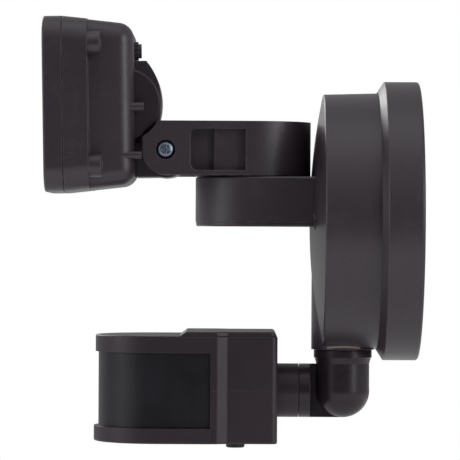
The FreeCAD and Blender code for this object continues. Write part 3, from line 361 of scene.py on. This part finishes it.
BRONZE = (0.031, 0.0210, 0.0295)
PLASTIC = (0.0275, 0.0180, 0.0255)
finishes = {
    "bronze_cast": powder_coat("bronze_cast", BRONZE),
    "bronze_plastic": moulded("bronze_plastic", PLASTIC),
    "bronze_gloss_plastic": moulded("bronze_gloss_plastic", tint(PLASTIC, 0.85), 700.0,
                                    0.000008, 0.31),
    "bronze_screw": powder_coat("bronze_screw", tint(BRONZE, 0.8), 2600.0, 0.00001, 0.38, 0.0002),
    "zinc_steel": plated("zinc_steel", (0.27, 0.36, 0.47)),
    "ground_green": plated("ground_green", (0.06, 0.32, 0.11), 0.3),
    "foam_seal": rubbery("foam_seal", (0.022, 0.022, 0.023)),
    "silicone": rubbery("silicone", (0.42, 0.42, 0.41), 2500.0, 0.00001, 0.5),
    "clear_glass": clear_glass(),
    "smoked_lens": smoked_lens(),
    "mirror_tray": mirror_tray(),
    "white_board": circuit("white_board", (0.80, 0.81, 0.79), (0.72, 0.73, 0.71), 110.0),
    "phosphor": phosphor(),
    "circuit_board": circuit("circuit_board", (0.012, 0.10, 0.035), (0.03, 0.19, 0.07)),
    "black_part": moulded("black_part", (0.018, 0.018, 0.019), 1600.0, 0.00002, 0.42),
    "blue_part": moulded("blue_part", (0.02, 0.07, 0.26), 900.0, 0.000008, 0.25),
    "green_part": moulded("green_part", (0.03, 0.26, 0.08), 1500.0, 0.000012, 0.36),
    "nylon": moulded("nylon", (0.62, 0.60, 0.54), 1200.0, 0.00001, 0.4),
    "brass": plated("brass", (0.62, 0.44, 0.17), 0.26),
    "metal_can": plated("metal_can", (0.62, 0.62, 0.64), 0.24),
}
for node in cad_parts.values():
    for holder in node.material_slots:
        holder.material = finishes[holder.material.name]


# Screws, modelled with their cross recesses in place of the plain CAD ones.

SAME = 1e-7             # metres within which points or levels count as one
ON_PLANE = 1e-8         # metres from a cutting plane within which a point lies on it
NEAR_END = 0.00005      # metres from a screw's face or end within which a point belongs to it

# Parts of the head's radius or height.
RECESS_HALF_WIDTH = 0.13
RECESS_REACH = 0.55
RECESS_DEPTH = 0.6
RECESS_TAPER = 0.72
DOME_START = 0.42
DOME_RINGS = ((0.06, 0.24), (0.12, 0.20), (0.2, 0.14))      # inward, and the rise with it


def finished(shape, name, slot):
    """Object at the origin from a finished shape, with its shell closed and facing outward."""
    bmesh.ops.remove_doubles(shape, verts=shape.verts, dist=SAME)
    bmesh.ops.recalc_face_normals(shape, faces=shape.faces)
    mesh = bpy.data.meshes.new(name)
    shape.to_mesh(mesh)
    shape.free()
    mesh.materials.append(finishes[slot])
    piece = bpy.data.objects.new(name, mesh)
    bpy.context.scene.collection.objects.link(piece)
    return piece


def islands(node):
    """The node's separate solids, each as a list of its points."""
    shape = bmesh.new()
    shape.from_mesh(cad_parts[node].data)
    bmesh.ops.remove_doubles(shape, verts=shape.verts, dist=SAME)
    waiting = set(shape.verts)
    found = []
    while waiting:
        reached = [waiting.pop()]
        for vert in reached:
            for edge in vert.link_edges:
                other = edge.other_vert(vert)
                if other in waiting:
                    waiting.remove(other)
                    reached.append(other)
        found.append([vert.co.copy() for vert in reached])
    shape.free()
    return found


def extruded(shape, faces, offset):
    """Extrude faces by an offset and return the new points and the new faces."""
    parts = bmesh.ops.extrude_face_region(shape, geom=faces)["geom"]
    verts = [part for part in parts if isinstance(part, bmesh.types.BMVert)]
    bmesh.ops.translate(shape, vec=offset, verts=verts)
    return verts, [part for part in parts if isinstance(part, bmesh.types.BMFace)]


def cross_recess(shape, face, half_width, reach, depth):
    """Sink a cross into a flat face that is square to Z and centred on it."""
    level = face.calc_center_median().z
    for axis in (0, 1):
        normal = Vector((1.0 - axis, float(axis), 0.0))
        for offset in (-reach, -half_width, half_width, reach):
            flat = [f for f in shape.faces if all(abs(v.co.z - level) < SAME for v in f.verts)]
            edges = {edge for f in flat for edge in f.edges}
            verts = {vert for f in flat for vert in f.verts}
            bmesh.ops.bisect_plane(shape, geom=flat + list(edges) + list(verts), dist=ON_PLANE,
                                   plane_co=normal * offset, plane_no=normal)
    cross = []
    for f in shape.faces:
        middle = f.calc_center_median()
        arms = sorted((abs(middle.x), abs(middle.y)))
        if abs(middle.z - level) < SAME and arms[0] < half_width and arms[1] < reach:
            cross.append(f)
    floor_verts, _ = extruded(shape, cross, (0.0, 0.0, -depth))
    bmesh.ops.scale(shape, vec=(RECESS_TAPER, RECESS_TAPER, 1.0), verts=floor_verts)


def pan_screw(shape, points, outward, segments):
    """Add a screw with a domed head and a cross recess, on the axis and sizes of a plain one."""
    ahead = [point.dot(outward) for point in points]
    face_at, end_at = max(ahead), min(ahead)
    face_ring = [p for p, at in zip(points, ahead) if at > face_at - NEAR_END]
    centre = sum(face_ring, Vector()) / len(face_ring)
    apart = [(p - centre - outward * (p - centre).dot(outward)).length for p in points]
    radius = max(apart)
    head_height = face_at - min(at for at, off in zip(ahead, apart) if off > 0.9 * radius)
    shank = max(off for at, off in zip(ahead, apart) if at < end_at + NEAR_END)
    screw = bmesh.new()
    bmesh.ops.create_circle(screw, cap_ends=True, segments=segments, radius=radius)
    _, raised = extruded(screw, screw.faces[:], (0.0, 0.0, DOME_START * head_height))
    top = raised[0]
    for inward, rise in DOME_RINGS:
        bmesh.ops.inset_individual(screw, faces=[top], thickness=radius * inward, depth=0.0,
                                   use_even_offset=True)
        bmesh.ops.translate(screw, vec=(0.0, 0.0, rise * head_height), verts=top.verts[:])
    cross_recess(screw, top, radius * RECESS_HALF_WIDTH, radius * RECESS_REACH,
                 head_height * RECESS_DEPTH)
    under = [f for f in screw.faces if all(abs(v.co.z) < SAME for v in f.verts)]
    bmesh.ops.inset_individual(screw, faces=under, thickness=radius - shank, depth=0.0,
                               use_even_offset=True)
    extruded(screw, under, (0.0, 0.0, -(face_at - head_height - end_at)))
    turn = outward.to_track_quat("Z", "Y").to_matrix().to_4x4()
    place = Matrix.Translation(centre - outward * head_height) @ turn
    bmesh.ops.transform(screw, matrix=place, verts=screw.verts)
    mesh = bpy.data.meshes.new("screw")
    screw.to_mesh(mesh)
    screw.free()
    shape.from_mesh(mesh)
    bpy.data.meshes.remove(mesh)


def screw_set(node, body, slot, outward, segments=20):
    """Put crossed screws that face outward in place of all the plain ones of a node."""
    shape = bmesh.new()
    for points in islands(node):
        pan_screw(shape, points, Vector(outward).normalized(), segments)
    piece = finished(shape, node + "_crossed", slot)
    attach(piece, body)
    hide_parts(node)


LEAN = math.radians(1.1)    # lean of the head at rest
screw_set("tilt_screw", "arm", "zinc_steel", (1.0, 0.0, 0.0), 48)
screw_set("bezel_screws", "head", "bronze_screw", (0.0, math.cos(LEAN), math.sin(LEAN)), 24)
screw_set("canopy_screws", "canopy", "bronze_screw", (0.0, -1.0, 0.0), 24)
screw_set("elbow_screw", "neck", "zinc_steel", (-1.0, 0.0, 0.0), 24)
screw_set("shell_screws", "sensor", "zinc_steel", (0.0, 0.0, -1.0))
screw_set("arm_lid_screws", "arm", "bronze_screw", (0.0, 0.0, 1.0))
screw_set("bracket_floor_screws", "canopy", "bronze_screw", (0.0, 0.0, -1.0))


# Floor, light and camera. Places are in metres.

LIGHT_MIDDLE = (0.0, -0.09, 0.0)
FLOOR_MIDDLE = (0.0, -0.09, -0.30)
CARD_MIDDLE = (2.6, -0.1, 0.25)
SOFT_SURROUND = 0.38
CAMERA_PLACE = (1.610, -0.0945, -0.0049)
CAMERA_AIM = (0.0, -0.0945, -0.0049)
CAMERA_ROLL = math.radians(-0.31)
LENS_MM = 250.1
SENSOR_MM = 36.0


def stage_finish():
    """Pale floor that fades to the white surround away from the light."""
    f = Finish("pale_floor", Specular_IOR_Level=0.2, Roughness=0.7)
    grain = f.noise(30.0, 3.0)
    f.set(Base_Color=f.mix(grain, (0.80, 0.80, 0.80), (0.84, 0.84, 0.84)))
    reach = f.vectors("LENGTH", f.place(), output="Value").smooth(0.35, 0.95)
    white = f.add("Emission", None, {"Color": (1.0, 1.0, 1.0), "Strength": 1.0})
    out = f.tree.nodes["Material Output"]
    pale = Value(f, f.shader.outputs["BSDF"])
    blend = f.add("MixShader", None, {0: reach, 1: pale, 2: white["Emission"]})
    f.give(out.inputs["Surface"], blend["Shader"])
    return f.material


def lay_floor():
    mesh = bpy.data.meshes.new("floor")
    shape = bmesh.new()
    drop = Matrix.Translation(FLOOR_MIDDLE)
    bmesh.ops.create_circle(shape, cap_ends=True, segments=96, radius=1.0, matrix=drop)
    shape.to_mesh(mesh)
    shape.free()
    floor = bpy.data.objects.new("floor", mesh)
    floor.data.materials.append(stage_finish())
    bpy.context.scene.collection.objects.link(floor)


def hang_card():
    """Dark card behind the camera, which the light's flanks reflect; the camera doesn't see it."""
    mesh = bpy.data.meshes.new("dark_card")
    shape = bmesh.new()
    stand = Matrix.Translation(CARD_MIDDLE) @ Matrix.Rotation(math.radians(90), 4, "Y")
    bmesh.ops.create_grid(shape, x_segments=1, y_segments=1, size=1.0, matrix=stand)
    about_middle = Matrix.Translation((0.0, -CARD_MIDDLE[1], -CARD_MIDDLE[2]))
    bmesh.ops.scale(shape, vec=(1.0, 2.4, 1.2), space=about_middle, verts=shape.verts)
    shape.to_mesh(mesh)
    shape.free()
    card = bpy.data.objects.new("dark_card", mesh)
    cloth = Finish("dark_cloth", Specular_IOR_Level=0.0, Roughness=1.0)
    weave = cloth.noise(400.0)
    cloth.set(Base_Color=cloth.mix(weave, (0.02, 0.02, 0.02), (0.03, 0.03, 0.03)))
    mesh.materials.append(cloth.material)
    card.visible_camera = False
    card.visible_shadow = False
    card.visible_diffuse = False
    bpy.context.scene.collection.objects.link(card)


def light_world():
    """White surround for the camera and through glass; a soft grey one for the light itself."""
    world = bpy.data.worlds.new("surround")
    bpy.context.scene.world = world
    world.use_nodes = True
    nodes, links = world.node_tree.nodes, world.node_tree.links
    nodes.clear()
    path = nodes.new("ShaderNodeLightPath")
    seen = nodes.new("ShaderNodeMath")
    seen.operation = "MAXIMUM"
    links.new(path.outputs["Is Camera Ray"], seen.inputs[0])
    links.new(path.outputs["Is Transmission Ray"], seen.inputs[1])
    white = nodes.new("ShaderNodeBackground")
    soft = nodes.new("ShaderNodeBackground")
    for surround, strength in ((white, 1.0), (soft, SOFT_SURROUND)):
        surround.inputs["Color"].default_value = (1.0, 1.0, 1.0, 1.0)
        surround.inputs["Strength"].default_value = strength
    both = nodes.new("ShaderNodeMixShader")
    out = nodes.new("ShaderNodeOutputWorld")
    links.new(seen.outputs[0], both.inputs[0])
    links.new(soft.outputs[0], both.inputs[1])
    links.new(white.outputs[0], both.inputs[2])
    links.new(both.outputs[0], out.inputs["Surface"])


def soft_box(name, place, power, size):
    """Oval lamp of a power in watts, turned to the middle of the light."""
    data = bpy.data.lights.new(name, "AREA")
    data.shape = "ELLIPSE"
    data.size, data.size_y = size
    data.energy = power
    lamp = bpy.data.objects.new(name, data)
    lamp.location = place
    lamp.rotation_euler = (Vector(LIGHT_MIDDLE) - Vector(place)).to_track_quat("-Z", "Y").to_euler()
    bpy.context.scene.collection.objects.link(lamp)


def set_camera():
    """Level with the light's middle and square to its side, as in the photograph."""
    data = bpy.data.cameras.new("camera")
    data.lens = LENS_MM
    data.sensor_width = SENSOR_MM
    camera = bpy.data.objects.new("camera", data)
    place = Vector(CAMERA_PLACE)
    aim = Vector(CAMERA_AIM)
    camera.location = place
    turn = (aim - place).to_track_quat("-Z", "Y").to_matrix()
    roll = Matrix.Rotation(CAMERA_ROLL, 3, aim - place)
    camera.rotation_euler = (roll @ turn).to_euler()
    bpy.context.scene.collection.objects.link(camera)
    bpy.context.scene.camera = camera


lay_floor()
hang_card()
light_world()
soft_box("front_light", (0.55, -1.75, 0.45), 5.5, (1.2, 1.2))
soft_box("top_light", (0.35, -0.2, 1.6), 2.5, (1.3, 1.3))
soft_box("wall_side_light", (1.2, 1.25, 0.45), 9.0, (0.9, 1.2))
soft_box("far_side_light", (-1.3, -0.9, 0.7), 9.0, (1.0, 1.0))
set_camera()
bpy.context.scene.view_settings.view_transform = "Standard"
